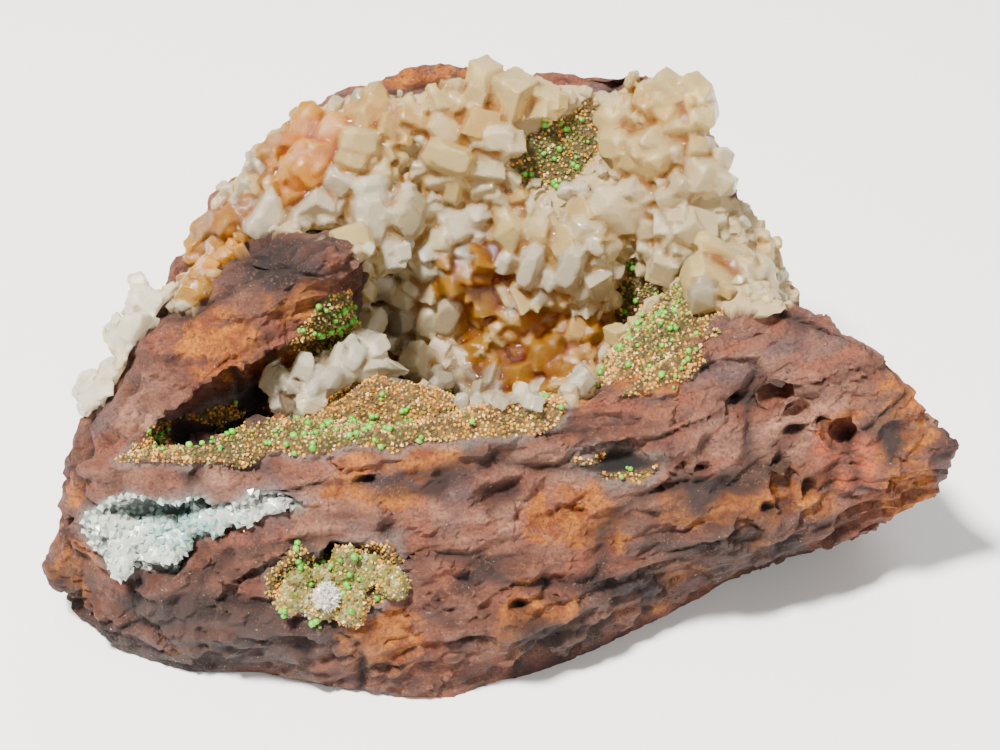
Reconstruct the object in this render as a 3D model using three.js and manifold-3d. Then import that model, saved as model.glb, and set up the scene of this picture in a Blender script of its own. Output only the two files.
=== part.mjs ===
// Hemimorphite with calcite on limonite: a hand-sized cabinet specimen.
// Millimetres, +Z up. The display side faces -Y. The origin is on the flat underside.
import * as THREE from "three";
import { ConvexGeometry } from "three/addons/geometries/ConvexGeometry.js";
import { TessellateModifier } from "three/addons/modifiers/TessellateModifier.js";
import { mergeVertices } from "three/addons/utils/BufferGeometryUtils.js";
import Module from "manifold-3d";

const wasm = await Module();
wasm.setup();
const { Manifold, Mesh } = wasm;

// Driving dimensions
const FACET_EDGE = 10.0; // longest edge of a broken rock facet
const RUGGED = 0.75; // how far the broken surface wanders from its flat facets
const CRUST = 1.5; // thickness of the calcite crust round the foot of a crystal
const GAP = 0.35; // free space between the rock and what grows on it
const FINEST = 0.06; // corners closer to a straight facet than this are merged away

// The sight line of the display side: places on the surface are given where they are
// seen, across and down, from this eye point
const SIGHT = { distance: 310, raised: 38, aimHeight: 25, perMm: 7.668, middle: [500, 375] };

// Corners of the rock masses, each a convex block of limonite
const ROCK_MASSES = {
  // The footing, whose right end is undercut
  footing: [
    [-55, -17, -2], [-49, -25, -2], [-37, -29, -2], [-24, -30, -2], [-8, -34, -2], [2, -31, -2],
    [9, -22, -2], [16, -11, -2], [46, -2, -2], [44, 22, -2], [26, 37, -2], [0, 40, -2],
    [-25, 38, -2], [-46, 27, -2], [-55, 6, -2], [-57, -18, 15], [-41, -32, 11], [-10, -35, 11],
    [3, -33, 10], [15, -26, 12], [48, -11, 13], [55, 0, 15], [48, 20, 18], [28, 36, 18],
    [0, 41, 18], [-26, 37, 18], [-48, 26, 18], [-54, 6, 18],
  ],
  // The long broken front wall, from the left corner to the middle
  front_wall: [
    [-57, -20, 15], [-41, -32, 12], [-10, -34.5, 11], [4, -32, 11], [15, -27, 13],
    [-55, -16, 24], [-51, -22, 29], [-36, -22.5, 30.5], [-20, -21.5, 31], [-5, -19.5, 31.5],
    [8, -17, 34], [-46, -14, 26], [-20, -10, 25], [4, -8, 25], [12, -8, 27], [-50, 0, 14],
    [12, 0, 14],
  ],
  // The right buttress, with its peak and its blunt far end
  right_buttress: [
    [15, -27, 13], [8, -17, 34], [22, -14.5, 38], [34, -9, 44], [38, -8, 42.5], [46, -9, 36],
    [54, -12, 29], [58.5, -13, 24], [58, -12, 15], [48, -14, 10], [28, -21, 9], [15, -25.5, 8],
    [28, -2, 32], [36, -1, 34], [48, 1, 26], [56, -3, 18], [54, 0, 12], [44, 10, 22],
    [15, 0, 12],
  ],
  // The slope from the buttress down into the hollow
  right_slope: [
    [34, -6, 41], [22, -12, 36.5], [12, -11, 31], [12, -2, 27], [15, 5, 26], [24, 10, 34],
    [34, 9, 35], [40, 8, 28], [22, 14, 18], [12, 0, 14],
  ],
  // The left wall, whose broken end is the slanting arm over the hollow
  left_wall: [
    [-55, -16, 22], [-51, -15, 30], [-43.5, -7, 37.5], [-33, 0, 45], [-24, 1, 45.5],
    [-18.5, 1, 44.5], [-19, -1, 38], [-25, -5, 33], [-34, -10, 30], [-48, -21, 28],
    [-46, 12, 27], [-43, 14, 31], [-30, 14, 37.5], [-18, 12, 38], [-55, 6, 10], [-18, 8, 20],
    [-22, 0, 27],
  ],
  // The back wall in three lengths
  back_left: [
    [-24, 28, 51], [-8, 31, 54], [-31, 26, 46], [-38, 22, 39], [-43, 17, 33], [-46, 12, 27],
    [-48, 26, 10], [-56, 6, 10], [-26, 38, 10], [-14, 24, 50], [-24, 20, 44], [-16, 14, 30],
    [-8, 26, 51],
  ],
  back_middle: [
    [-14, 30, 53], [-8, 31, 54], [5, 31, 52.5], [17, 30.5, 52], [-8, 27, 51], [5, 27, 50],
    [16, 27, 50], [-26, 38, 10], [0, 41, 10], [24, 37, 10], [-16, 18, 12], [16, 18, 12],
    [-12, 20, 34], [4, 21, 36], [16, 21, 37],
  ],
  back_right: [
    [15, 30.5, 52.5], [19, 29, 53], [24, 28, 53.5], [26.5, 26, 50], [28.5, 20, 42], [31, 15, 36],
    [21, 24, 49], [26, 15, 38], [17, 20, 36], [16, 18, 10], [40, 22, 10], [42, 16, 22],
    [26, 37, 10],
  ],
};

// Rounded lumps fused to the rock: centre, half lengths, and turn about Z in degrees
const LUMPS = {
  nodule_on_the_arm: { at: [-22.5, -1, 43], half: [4, 3.5, 3], turn: 20 },
  druse_mound: { at: [-15, -7, 25], half: [11, 5, 4], turn: 0 },
  left_corner_knob: { at: [-54.5, -17, 9.5], half: [4.5, 5, 6], turn: 0 },
  left_toe: { at: [-45, -22.5, 5], half: [7.5, 5, 5.5], turn: 25 },
};

// Hollows in the rock, given like the lumps
const HOLLOWS = {
  deep_hollow: { at: [0, 9, 26.5], half: [18, 10.5, 12.5], turn: 0 },
  cave_under_the_arm: { at: [-31, -8, 29], half: [16, 7, 5], turn: 27 },
  upper_hollow: { at: [-8, 14, 44], half: [11, 9, 9], turn: 0 },
  hollow_on_the_arm: { at: [-31, -3, 44], half: [4.5, 3, 2], turn: 20 },
  hemimorphite_slit: { at: [-44.5, -28, 20.5], half: [8.5, 6, 4.2], turn: 15 },
  slit_middle: { at: [-37.5, -27.5, 22.6], half: [5, 4.8, 2.4], turn: 4 },
  slit_tail: { at: [-31, -27, 24.3], half: [7.5, 4.5, 1.8], turn: 4 },
  druse_pocket: { at: [-20.5, -32.5, 18], half: [9.5, 5, 4.6], turn: 3 },
  dark_hollow: { at: [14.5, -21.5, 28], half: [5, 5, 2], turn: 14 },
  upper_pit: { at: [34, -13, 32], half: [1.6, 2.2, 1.1], turn: 10 },
  middle_pit: { at: [37.2, -14.5, 29.5], half: [1.5, 2.2, 1.0], turn: 30 },
  red_pit: { at: [42.8, -14, 27], half: [2.2, 2.4, 2.0], turn: 0 },
  lower_pit: { at: [36, -18, 21], half: [1.6, 2.4, 1.6], turn: 0 },
};

// Where calcite lines the main hollow: the outline it is seen in, how far apart the
// crystals stand, and how wide and long they are
const CALCITE_FIELDS = [
  {
    // orange and cream blocks on the left and upper left of the hollow
    outline: [[186, 270], [222, 214], [258, 164], [292, 130], [335, 112], [430, 108], [430, 195],
      [350, 185], [270, 195], [240, 255], [200, 300]],
    also: [[226, 240], [250, 206]],
    apart: 7.4, wide: [3.2, 4.2], long: [3.8, 5.4],
  },
  {
    // white blocks along the top of the arm and past its end
    outline: [[240, 222], [290, 195], [350, 182], [440, 192], [475, 235], [430, 262],
      [375, 262], [350, 218], [265, 232]],
    also: [[262, 222], [292, 214], [322, 212], [348, 208]],
    apart: 6.0, wide: [2.8, 3.6], long: [3.4, 4.8],
  },
  {
    // cream blocks on the back wall
    outline: [[430, 110], [520, 106], [600, 114], [655, 102], [684, 102], [696, 120], [708, 190],
      [718, 225], [700, 235], [590, 238], [470, 232], [430, 195]],
    apart: 8.2, wide: [3.4, 4.6], long: [4.4, 6.6],
  },
  {
    // honey and grey crystals deep in the hollow
    outline: [[372, 262], [470, 235], [590, 240], [612, 300], [600, 345], [560, 372],
      [540, 400], [470, 402], [425, 372], [385, 335]],
    also: [[545, 340], [552, 374], [482, 318], [470, 372]],
    apart: 8.4, wide: [3.6, 4.8], long: [5.4, 7.8],
  },
  {
    // the clear blocks on the right, over the buttress
    outline: [[610, 238], [735, 226], [780, 252], [788, 284], [760, 300], [700, 305],
      [640, 268]],
    apart: 7.4, wide: [3.6, 4.8], long: [4.6, 6.6],
  },
];

// Where the white side cluster stands, in plan, on the outer face of the left wall
const SIDE_FIELD = {
  stands: [
    [-44, -1], [-45.5, 2], [-46, -4], [-47.5, -1], [-48, -6.5], [-49.5, -3], [-50, -8.5],
    [-51.5, -5],
  ],
  under: 60,
  apart: 5.0, wide: [2.2, 2.8], long: [2.6, 3.6],
};

// Where the floor cluster stands, in plan, under the arm
const CLUSTER_FIELD = {
  stands: [[-28, -4], [-24, -4.5], [-20, -3], [-16, -2.5]],
  under: 31,
  apart: 5.0, wide: [3.0, 3.6], long: [6.0, 7.5],
};

const STUB_FIELD = {
  outline: [[571, 392], [571, 376], [588, 376], [588, 392]],
  apart: 2.6, wide: [2.0, 2.3], long: [3.6, 4.2],
};

// Where hemimorphite lines the slit, and where the yellow-green druse lines its pocket
const HEMIMORPHITE_FIELD = {
  outline: [[82, 532], [118, 514], [190, 520], [232, 512], [300, 497], [302, 508], [240, 528],
    [196, 548], [168, 574], [108, 566]],
  also: [[204, 519], [222, 514], [240, 510], [258, 506], [276, 503]],
  apart: 3.0, wide: [2.0, 2.6],
};

const DRUSE_FIELD = {
  outline: [[270, 590], [285, 560], [345, 545], [395, 552], [402, 580], [380, 600],
    [340, 612], [292, 606]],
  apart: 4.0, wide: [2.4, 3.0],
};

// An even run of repeatable chance values
function chance(seed) {
  let state = seed;
  return function next(low = 0, high = 1) {
    state = (state + 0x6d2b79f5) | 0;
    let t = Math.imul(state ^ (state >>> 15), 1 | state);
    t = (t + Math.imul(t ^ (t >>> 7), 61 | t)) ^ t;
    const share = ((t ^ (t >>> 14)) >>> 0) / 4294967296;
    return low + (high - low) * share;
  };
}

// A closed mesh as a solid, and back
function solidOf(geometry) {
  const bare = new THREE.BufferGeometry();
  bare.setAttribute("position", geometry.getAttribute("position"));
  bare.setIndex(geometry.getIndex());
  const merged = mergeVertices(bare, 1e-4);
  return new Manifold(
    new Mesh({
      numProp: 3,
      vertProperties: new Float32Array(merged.attributes.position.array),
      triVerts: new Uint32Array(merged.index.array),
    }),
  );
}

function geometryOf(solid) {
  const mesh = solid.getMesh();
  const geometry = new THREE.BufferGeometry();
  geometry.setAttribute("position", new THREE.BufferAttribute(mesh.vertProperties, 3));
  geometry.setIndex(new THREE.BufferAttribute(mesh.triVerts, 1));
  geometry.computeVertexNormals();
  return geometry;
}

// The biggest single body of a solid, without loose crumbs or sealed voids
function largest(solid) {
  const bodies = solid.decompose();
  return bodies.reduce((best, body) => (body.volume() > best.volume() ? body : best));
}

// How far a point of the broken surface is moved: a smooth wander in three sizes
function wander(point, size) {
  const waves = [
    [0.19, 1.0],
    [0.37, 0.5],
    [0.61, 0.25],
  ];
  const moved = new THREE.Vector3();
  for (const [k, share] of waves) {
    moved.x += share * Math.sin(k * (point.y + 1.3 * point.z) + 1.7 + 3 * k);
    moved.y += share * Math.sin(k * (point.z + 1.1 * point.x) + 0.4 + 5 * k);
    moved.z += share * Math.sin(k * (point.x - 1.2 * point.y) + 2.9 + 7 * k);
  }
  return moved.multiplyScalar(size);
}

function roughened(geometry, size) {
  const position = geometry.getAttribute("position");
  const point = new THREE.Vector3();
  for (let i = 0; i < position.count; i++) {
    point.fromBufferAttribute(position, i);
    point.add(wander(point, size));
    position.setXYZ(i, point.x, point.y, point.z);
  }
  return geometry;
}

function block(corners) {
  return solidOf(new ConvexGeometry(corners.map((c) => new THREE.Vector3(...c))));
}

function rounded({ at, half, turn }) {
  const detail = Math.max(...half) > 7 ? 2 : 1;
  const ball = new THREE.IcosahedronGeometry(1, detail);
  ball.scale(...half);
  ball.rotateZ(THREE.MathUtils.degToRad(turn));
  ball.translate(...at);
  return solidOf(roughened(ball, RUGGED * 0.6));
}

function limonite() {
  const joined = Manifold.union(Object.values(ROCK_MASSES).map(block));
  const faceted = new TessellateModifier(FACET_EDGE, 12).modify(geometryOf(joined));
  faceted.deleteAttribute("normal");
  let rock = solidOf(roughened(mergeVertices(faceted, 1e-3), RUGGED));
  for (const lump of Object.values(LUMPS)) rock = rock.add(rounded(lump));
  for (const cut of Object.values(HOLLOWS)) rock = rock.subtract(rounded(cut));
  const under = new THREE.BoxGeometry(200, 200, 40).translate(0, 0, -20);
  return largest(rock.subtract(solidOf(under)));
}

// The same solid with every corner moved out along its own normal
function grown(solid, by) {
  const geometry = geometryOf(solid);
  const position = geometry.getAttribute("position");
  const normal = geometry.getAttribute("normal");
  for (let i = 0; i < position.count; i++) {
    position.setXYZ(
      i,
      position.getX(i) + by * normal.getX(i),
      position.getY(i) + by * normal.getY(i),
      position.getZ(i) + by * normal.getZ(i),
    );
  }
  return solidOf(geometry);
}

// Looks along the sight line at a place across and down, and gives what is met there
function lookAt(target, across, down) {
  const raised = THREE.MathUtils.degToRad(SIGHT.raised);
  const aim = new THREE.Vector3(0, 0, SIGHT.aimHeight);
  const back = new THREE.Vector3(0, -Math.cos(raised), Math.sin(raised));
  const up = new THREE.Vector3(0, Math.sin(raised), Math.cos(raised));
  const eye = aim.clone().addScaledVector(back, SIGHT.distance);
  const seen = aim.clone();
  seen.x += (across - SIGHT.middle[0]) / SIGHT.perMm;
  seen.addScaledVector(up, (SIGHT.middle[1] - down) / SIGHT.perMm);
  const ray = new THREE.Raycaster(eye, seen.sub(eye).normalize());
  const met = ray.intersectObject(target)[0];
  return met ? { point: met.point, normal: met.face.normal } : null;
}

// What is met below a place in plan, from under the arm
function below(target, x, y, z) {
  const ray = new THREE.Raycaster(new THREE.Vector3(x, y, z), new THREE.Vector3(0, 0, -1));
  const met = ray.intersectObject(target)[0];
  return { point: met.point, normal: met.face.normal };
}

function isInside(outline, across, down) {
  let inside = false;
  for (let i = 0, j = outline.length - 1; i < outline.length; j = i++) {
    const [xa, ya] = outline[i];
    const [xb, yb] = outline[j];
    const crosses = ya > down !== yb > down;
    if (crosses && across < ((xb - xa) * (down - ya)) / (yb - ya) + xa) inside = !inside;
  }
  return inside;
}

// Seats on the rock for the crystals of a field, in staggered rows
function seats(target, field, next) {
  if (field.stands) return field.stands.map(([x, y]) => below(target, x, y, field.under));
  const step = field.apart * SIGHT.perMm;
  const found = [];
  const all = field.outline.flat();
  const across = all.filter((value, i) => i % 2 === 0);
  const down = all.filter((value, i) => i % 2 === 1);
  for (const [u, v] of field.also ?? []) {
    const seat = lookAt(target, u, v);
    if (seat) found.push(seat);
  }
  let row = 0;
  for (let y = Math.min(...down) + step * 0.3; y < Math.max(...down); y += step * 0.8) {
    row += 1;
    for (let x = Math.min(...across) + (row % 2) * step * 0.5; x < Math.max(...across); x += step) {
      const u = x + next(-0.22, 0.22) * step;
      const v = y + next(-0.22, 0.22) * step;
      if (!isInside(field.outline, u, v)) continue;
      const seat = lookAt(target, u, v);
      if (seat) found.push(seat);
    }
  }
  return found;
}

// A blunt pointed crystal: six sides, a zigzag girdle and a leaning tip
function dogtooth(width, length, next) {
  const corners = [];
  for (let i = 0; i < 6; i++) {
    const angle = (i * Math.PI) / 3 + next(-0.12, 0.12);
    const girdle = length * (i % 2 ? 0.42 : 0.62);
    corners.push([Math.cos(angle) * width * 1.1, Math.sin(angle) * width * 1.1, -width]);
    corners.push([Math.cos(angle) * width * 0.92, Math.sin(angle) * width * 0.92, girdle]);
  }
  corners.push([next(-0.25, 0.25) * width, next(-0.25, 0.25) * width, length]);
  return corners;
}

// A cleavage block: a rhomb standing on its corner, sunk by a third
function rhomb(width, length, next) {
  const corners = [];
  const lean = THREE.MathUtils.degToRad(next(52, 62));
  const edge = width * 1.25;
  const sides = [0, 1, 2].map((i) => {
    const angle = (i * 2 * Math.PI) / 3;
    return [Math.sin(lean) * Math.cos(angle), Math.sin(lean) * Math.sin(angle), Math.cos(lean)];
  });
  const stretch = length / (3 * edge * Math.cos(lean));
  for (let i = 0; i < 8; i++) {
    const corner = [0, 0, -0.35 * length];
    for (let k = 0; k < 3; k++) {
      if (!(i & (1 << k))) continue;
      corner[0] += sides[k][0] * edge;
      corner[1] += sides[k][1] * edge;
      corner[2] += sides[k][2] * edge * stretch * 1.35;
    }
    corners.push(corner);
  }
  return corners;
}

// The thin crust round the foot of a crystal, which joins it to its neighbours
function foot(seat, field) {
  const corners = [
    [0, 0, CRUST],
    [0, 0, -2 * CRUST],
  ];
  for (let i = 0; i < 4; i++) {
    const angle = (i * Math.PI) / 2;
    corners.push([Math.cos(angle) * field.apart * 0.85, Math.sin(angle) * field.apart * 0.85, 0]);
  }
  const turn = new THREE.Quaternion().setFromUnitVectors(new THREE.Vector3(0, 0, 1), seat.normal);
  const placed = corners.map((corner) =>
    new THREE.Vector3(...corner).applyQuaternion(turn).add(seat.point),
  );
  return solidOf(new ConvexGeometry(placed));
}

function crystal(seat, field, towards, next) {
  const width = next(...field.wide);
  const length = next(...field.long);
  const corners = next() < 0.35 ? dogtooth(width, length, next) : rhomb(width, length, next);
  const way = seat.normal.clone().multiplyScalar(0.75);
  way.addScaledVector(towards.clone().sub(seat.point).normalize(), 0.45);
  way.add(new THREE.Vector3(next(-0.3, 0.3), next(-0.3, 0.3), next(-0.3, 0.3))).normalize();
  const turn = new THREE.Quaternion().setFromUnitVectors(new THREE.Vector3(0, 0, 1), way);
  const spin = new THREE.Quaternion().setFromAxisAngle(way, next(0, Math.PI));
  const placed = corners.map((corner) =>
    new THREE.Vector3(...corner).applyQuaternion(turn).applyQuaternion(spin).add(seat.point),
  );
  return solidOf(new ConvexGeometry(placed));
}

// A low rounded grain of a druse
function grain(seat, field, next) {
  const ball = new THREE.IcosahedronGeometry(next(...field.wide), 0);
  ball.rotateX(next(0, 3)).rotateY(next(0, 3));
  ball.translate(...seat.point.toArray());
  return solidOf(ball);
}

const specimen = new THREE.Group();

function add(name, solid, color, roughness) {
  const material = new THREE.MeshStandardMaterial({ color, roughness, metalness: 0 });
  const mesh = new THREE.Mesh(geometryOf(solid), material);
  mesh.name = name;
  specimen.add(mesh);
}

const HOLLOW_CENTRE = new THREE.Vector3(0, -6, 40);
const rock = limonite();
const rockFace = new THREE.Mesh(geometryOf(rock));
const occupied = [grown(rock, GAP), rock];

// What has grown together from these pieces, clear of everything it stands on
function growth(pieces) {
  let whole = Manifold.union(pieces);
  for (const solid of occupied) whole = whole.subtract(solid);
  const body = largest(largest(whole.simplify(FINEST)).subtract(rock));
  occupied.push(grown(body, GAP), body);
  return body;
}

function crystalCrust(fields, towards, seed) {
  const next = chance(seed);
  const pieces = [];
  for (const field of fields) {
    for (const seat of seats(rockFace, field, next)) {
      pieces.push(foot(seat, field));
      pieces.push(crystal(seat, field, towards, next));
    }
  }
  return growth(pieces);
}

function grainCrust(field, seed) {
  const next = chance(seed);
  return growth(seats(rockFace, field, next).map((seat) => grain(seat, field, next)));
}

const FORWARD = new THREE.Vector3(-20, -60, 70);
const UPWARD = new THREE.Vector3(-23, -14, 90);
const OUTWARD = new THREE.Vector3(-80, -60, 90);

add("limonite", rock, 0x6b3a2a, 0.85);
add("calcite_stub", crystalCrust([STUB_FIELD], FORWARD, 3), 0xf4f0e8, 0.3);
add("calcite_floor_cluster", crystalCrust([CLUSTER_FIELD], UPWARD, 7), 0xe6ddd2, 0.25);
add("calcite_side_cluster", crystalCrust([SIDE_FIELD], OUTWARD, 5), 0xf0ede4, 0.3);
add("calcite_crust", crystalCrust(CALCITE_FIELDS, HOLLOW_CENTRE, 11), 0xe9dcc4, 0.25);
add("hemimorphite_crust", grainCrust(HEMIMORPHITE_FIELD, 21), 0xcfe3e0, 0.3);
add("pocket_druse", grainCrust(DRUSE_FIELD, 31), 0x9a8a4a, 0.6);

export default specimen;
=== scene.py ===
import math

import bmesh
import bpy
import numpy as np
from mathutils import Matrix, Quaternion, Vector
from mathutils.bvhtree import BVHTree


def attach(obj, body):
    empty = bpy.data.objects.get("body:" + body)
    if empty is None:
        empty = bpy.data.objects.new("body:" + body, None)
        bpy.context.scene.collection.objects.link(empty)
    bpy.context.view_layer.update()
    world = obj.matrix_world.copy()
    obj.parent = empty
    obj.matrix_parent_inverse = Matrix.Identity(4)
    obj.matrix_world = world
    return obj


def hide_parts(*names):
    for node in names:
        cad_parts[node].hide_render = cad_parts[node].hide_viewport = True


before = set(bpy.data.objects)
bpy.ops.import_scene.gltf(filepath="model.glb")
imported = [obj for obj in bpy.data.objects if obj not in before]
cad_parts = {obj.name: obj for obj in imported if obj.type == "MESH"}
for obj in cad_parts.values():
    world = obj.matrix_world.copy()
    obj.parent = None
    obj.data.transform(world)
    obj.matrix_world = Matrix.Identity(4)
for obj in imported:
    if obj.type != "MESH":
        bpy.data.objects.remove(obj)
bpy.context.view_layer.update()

# Camera, floor and light
# The specimen is seen from the front and above, standing on a pale plain floor in soft
# studio light that comes mostly from above and the left.
MM = 0.001
AIM_HEIGHT = 25
EYE_AWAY = 310  # millimetres from the camera to the place it is aimed at
AIM = Vector((0.0, 0.0, AIM_HEIGHT * MM))
RAISED = math.radians(38)
TO_EYE = Vector((0.0, -math.cos(RAISED), math.sin(RAISED)))
UP_IN_VIEW = Vector((0.0, math.sin(RAISED), math.cos(RAISED)))
EYE = AIM + TO_EYE * EYE_AWAY * MM
VIEW_SCALE = 7.668  # pixels for each millimetre at the distance of AIM, in a view of 1000 x 750
VIEW_MIDDLE = (500, 375)

camera = bpy.data.objects.new("camera", bpy.data.cameras.new("camera"))
bpy.context.collection.objects.link(camera)
camera.data.lens = 85.6
camera.data.sensor_width = 36
camera.location = EYE
camera.rotation_euler = (math.radians(90) - RAISED, 0, 0)
camera.data.clip_start = 0.01
camera.data.clip_end = 20
bpy.context.scene.camera = camera

world = bpy.data.worlds.new("studio")
bpy.context.scene.world = world
world.use_nodes = True
world.node_tree.nodes["Background"].inputs["Color"].default_value = (1.0, 0.98, 0.95, 1)
world.node_tree.nodes["Background"].inputs["Strength"].default_value = 0.40


def lamp(name, place, size, power, colour):
    """A square lamp at a place in metres, turned to the specimen."""
    light = bpy.data.lights.new(name, "AREA")
    light.size = size
    light.energy = power
    light.color = colour
    holder = bpy.data.objects.new(name, light)
    bpy.context.collection.objects.link(holder)
    holder.location = place
    holder.rotation_euler = (AIM - Vector(place)).to_track_quat("-Z", "Y").to_euler()


lamp("key_light", (-0.27, -0.22, 0.76), 0.12, 28.5, (1.0, 0.96, 0.90))
lamp("fill_light", (0.55, -0.55, 0.40), 0.50, 4.0, (1.0, 0.98, 0.95))
lamp("back_light", (0.10, 0.60, 0.60), 0.40, 3.0, (1.0, 1.0, 1.0))


def principled(material):
    return material.node_tree.nodes["Principled BSDF"]


FLOOR_SIDE = 3
bpy.ops.mesh.primitive_plane_add(size=FLOOR_SIDE)
floor = bpy.context.object
floor.name = "studio_floor"
paper = bpy.data.materials.new("pale_paper")
paper.use_nodes = True
principled(paper).inputs["Base Color"].default_value = (0.86, 0.86, 0.86, 1)
principled(paper).inputs["Roughness"].default_value = 0.9
floor.data.materials.append(paper)


# Limonite
# The rock itself: rust-brown limonite and goethite, broken out by hand, layered, pitted
# and lumpy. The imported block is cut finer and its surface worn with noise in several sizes.
def hashed(cells, seed):
    """A repeatable chance value from -1 to 1 for each whole-numbered cell.

    The large numbers only stir the cell's place well before its lowest 16 bits are taken.
    """
    mixed = cells[:, 0] * 73856093 ^ cells[:, 1] * 19349663 ^ cells[:, 2] * 83492791 ^ seed * 7919
    mixed = ((mixed ^ (mixed >> 13)) * 1274126177) & 0x7FFFFFFF
    mixed = mixed ^ (mixed >> 16)
    return (mixed & 0xFFFF) / 32767.5 - 1


def lattice_noise(points, wavelength, seed):
    """Smooth noise from -1 to 1 at points in millimetres."""
    scaled = points / wavelength + seed * 17.31
    base = np.floor(scaled).astype(np.int64)
    part = scaled - base
    part = part * part * (3 - 2 * part)
    total = np.zeros(len(points))
    for corner in range(8):
        step = np.array([corner & 1, (corner >> 1) & 1, corner >> 2])
        share = np.where(step == 1, part, 1 - part).prod(axis=1)
        total += share * hashed(base + step, seed)
    return total


def chipped(points, size, seed):
    """Flat chips: the height, from about -1 to 1, of the tilted chip that each point lies on."""
    cells = np.floor(points / size).astype(np.int64)
    nearest = np.full(len(points), 1e9)
    height = np.zeros(len(points))
    for step in np.ndindex(3, 3, 3):
        cell = cells + np.array(step) - 1
        middle = np.stack([hashed(cell, seed + k) for k in range(3)], axis=1) * 0.42 + 0.5 + cell
        tilt = np.stack([hashed(cell, seed + 3 + k) for k in range(3)], axis=1)
        off = points / size - middle
        reach = (off ** 2).sum(axis=1)
        closer = reach < nearest
        nearest[closer] = reach[closer]
        value = 0.45 * hashed(cell, seed + 6) + (off * tilt).sum(axis=1)
        height[closer] = value[closer]
    return height


def seen_at(points):
    """Where points in millimetres are seen, across and down the view."""
    from_aim = points - np.array([0, 0, float(AIM_HEIGHT)])
    depth = EYE_AWAY - from_aim @ np.array(TO_EYE)
    across = VIEW_MIDDLE[0] + VIEW_SCALE * EYE_AWAY * from_aim[:, 0] / depth
    down = VIEW_MIDDLE[1] - VIEW_SCALE * EYE_AWAY * (from_aim @ np.array(UP_IN_VIEW)) / depth
    return across, down


def inside(outline, across, down):
    """Which of the places seen lie inside an outline."""
    within = np.zeros(np.shape(across), bool)
    previous = outline[-1]
    for corner in outline:
        (xa, ya), (xb, yb) = previous, corner
        if ya != yb:
            crosses = (ya > down) != (yb > down)
            within ^= crosses & (across < (xb - xa) * (down - ya) / (yb - ya) + xa)
        previous = corner
    return within


def near(across, down, centre, radius):
    """1 in the middle of a round place in the view, fading to 0 at its edge."""
    away = np.hypot((across - centre[0]) / radius[0], (down - centre[1]) / radius[1])
    return np.clip(1.6 * (1 - away), 0, 1)


def store(mesh, name, values):
    """Write one value for each corner of a mesh, for its material to read."""
    mesh.attributes.new(name, "FLOAT", "POINT").data.foreach_set("value", values.astype(np.float32))


def finer_copy(name, voxel):
    """A finer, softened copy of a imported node's mesh, cut at so many millimetres."""
    holder = bpy.data.objects.new(name + "_finer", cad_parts[name].data.copy())
    bpy.context.collection.objects.link(holder)
    holder.data.materials.clear()
    remesh = holder.modifiers.new("finer", "REMESH")
    remesh.mode = "VOXEL"
    remesh.voxel_size = voxel * MM
    smooth = holder.modifiers.new("softer", "SMOOTH")
    smooth.factor = 0.5
    smooth.iterations = 4
    bpy.context.view_layer.update()
    settled = bpy.context.evaluated_depsgraph_get()
    mesh = bpy.data.meshes.new_from_object(holder.evaluated_get(settled))
    bpy.data.objects.remove(holder)
    return mesh


def read(mesh, kind):
    """A mesh's places in millimetres, or its normals, one row for each corner."""
    values = np.empty(len(mesh.vertices) * 3)
    mesh.vertices.foreach_get(kind, values)
    return values.reshape(-1, 3) / (MM if kind == "co" else 1)


ROCK_VOXEL = 0.64
RAGGED = 9  # how far the edges of the places below wander, across and down the view
finer = finer_copy("limonite", ROCK_VOXEL)
rock = bpy.data.objects.new("limonite_rock", finer)
bpy.context.collection.objects.link(rock)
count = len(finer.vertices)
places = read(finer, "co")
normals = read(finer, "normal")
across, down = seen_at(places)
across_ragged = across + RAGGED * lattice_noise(places, 3.0, 3)
down_ragged = down + RAGGED * lattice_noise(places, 3.0, 4)
facing = normals @ np.array(TO_EYE)

# Where the yellow-green druse coats the rock, and where calcite and hemimorphite do
DRUSE_PLACES = {
    "floor": [(118, 462), (160, 424), (228, 408), (262, 380), (300, 382), (380, 372), (452, 388),
              (470, 398), (560, 392), (566, 404), (545, 432), (470, 440), (300, 452), (200, 468)],
    "right_slope": [(592, 385), (600, 330), (612, 300), (625, 262), (650, 246), (686, 262),
                    (706, 300), (722, 318), (690, 345), (640, 372)],
    "pocket": [(268, 600), (266, 572), (300, 552), (390, 538), (404, 560), (398, 590), (350, 618),
               (300, 612)],
    "under_the_arm": [(285, 352), (318, 312), (352, 290), (362, 345), (330, 352)],
    "green_hollow": [(512, 160), (540, 122), (592, 100), (606, 120), (590, 168), (560, 192),
                     (530, 185)],
    "buttress_strip": [(620, 400), (650, 372), (700, 345), (706, 362), (660, 398)],
    "dark_hollow": [(575, 462), (600, 450), (655, 462), (648, 486), (600, 482)],
}
# Round places in the view, each with its centre and half widths. Where the druse is greenest
GREENEST = [
    ((650, 300), (70, 80)), ((555, 150), (60, 60)), ((210, 440), (60, 26)),
    ((335, 320), (34, 44)), ((330, 575), (70, 34)), ((330, 432), (120, 16)),
]
# Openings so deep that they look black: painted shade, a near-black colour put over them
SHADED_MOUTHS = [
    ((188, 432), (34, 15)), ((258, 400), (26, 26)), ((618, 466), (44, 15)),
    ((178, 548), (24, 9)), ((330, 549), (44, 7)), ((655, 268), (26, 16)),
]
# Holes that go a little way into the rock, sunk and darkened with painted shade
HOLES = [
    ((772, 406), (11, 7)), ((797, 431), (11, 10)), ((786, 503), (10, 15)), ((811, 489), (9, 13)),
    ((823, 424), (9, 7)), ((770, 510), (8, 8)), ((740, 400), (7, 5)), ((365, 480), (14, 5)),
    ((705, 470), (10, 5)), ((520, 608), (12, 8)),
]
# The brown nodule on the arm's end and the cup beside it, painted black as dark ore and as painted
# shade in its hollow
NODULE = [((324, 258), (30, 26))]
CUP = [((264, 251), (36, 22))]
# The lower front, which is broken into ledges
BROKEN_FRONT = [((300, 630), (420, 90))]
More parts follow.
